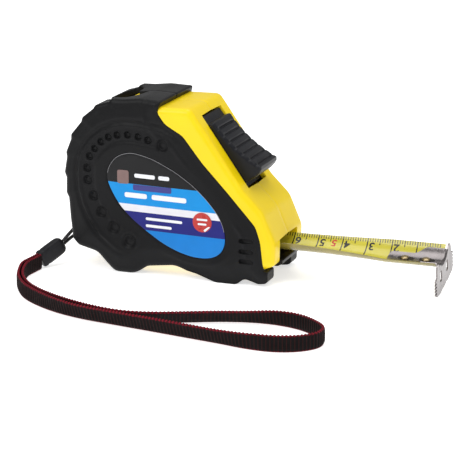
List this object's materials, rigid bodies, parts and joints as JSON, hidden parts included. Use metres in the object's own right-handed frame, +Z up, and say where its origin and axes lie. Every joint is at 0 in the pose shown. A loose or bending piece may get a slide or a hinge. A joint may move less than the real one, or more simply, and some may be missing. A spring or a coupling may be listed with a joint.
{
  "type": "tape measure",
  "caption": "Pocket tape measure with a spring-return curved blade, sliding end hook, thumb lock, rubber grip covers, belt clip and wrist strap.",
  "frame": {"origin": "on the standing surface, under the middle of the tape without its wrist strap", "axes": "+X forwards, the way the blade comes out; +Y towards the belt clip side; +Z up"},
  "size_m": [0.1614, 0.1165, 0.0704],
  "materials": {
    "yellow_plastic": "satin moulded ABS",
    "grip_rubber": "soft matte overmould",
    "label": "printed gloss film",
    "black_plastic": "fine texture",
    "grey_plastic": "plain",
    "blade_paint": "lacquered yellow-green with black scale",
    "steel": "plated, slightly dull",
    "spring_steel": "blued",
    "brass": "plain",
    "webbing": "cross-ribbed weave with red edges"
  },
  "bodies": {
    "case": {"right_housing": "yellow_plastic", "left_housing": "yellow_plastic", "right_grip_cover": "grip_rubber", "left_grip_cover": "grip_rubber", "right_label": "label", "mouth_lip": "black_plastic", "spindle": "steel", "case_screw_1": "steel", "case_screw_2": "steel", "case_screw_3": "steel", "belt_clip": "steel", "clip_screw": "steel", "strap_pin": "steel", "strap_cord": "webbing", "strap_clamp": "black_plastic", "strap_webbing": "webbing"},
    "spool": {"spool_drum": "grey_plastic", "spool_flange": "grey_plastic", "power_spring": "spring_steel", "blade_coil": "blade_paint"},
    "blade": {"blade": "blade_paint", "hook_rivet_1": "brass", "hook_rivet_2": "brass"},
    "hook": {"end_hook": "steel"},
    "lock": {"lock_button": "black_plastic", "lock_tongue": "black_plastic"}
  },
  "joints": [
    {"name": "blade_slide", "type": "slide", "parent": "case", "child": "blade", "axis": [1, 0, 0], "range_m": [-0.06, 0.008]},
    {"name": "spool_spin", "type": "hinge", "parent": "case", "child": "spool", "pos_m": [-0.04683, -0.0029, 0.0383], "axis": [0, 1, 0], "range_deg": [-21, 157]},
    {"name": "hook_slide", "type": "slide", "parent": "blade", "child": "hook", "axis": [1, 0, 0], "range_m": [0, 0.001]},
    {"name": "lock_slide", "type": "slide", "parent": "case", "child": "lock", "axis": [0.5779, 0, -0.8161], "range_m": [0, 0.002]}
  ],
  "couplings": [
    {"joint": "spool_spin", "follows": "blade_slide", "rad_per_m": -45.455}
  ]
}
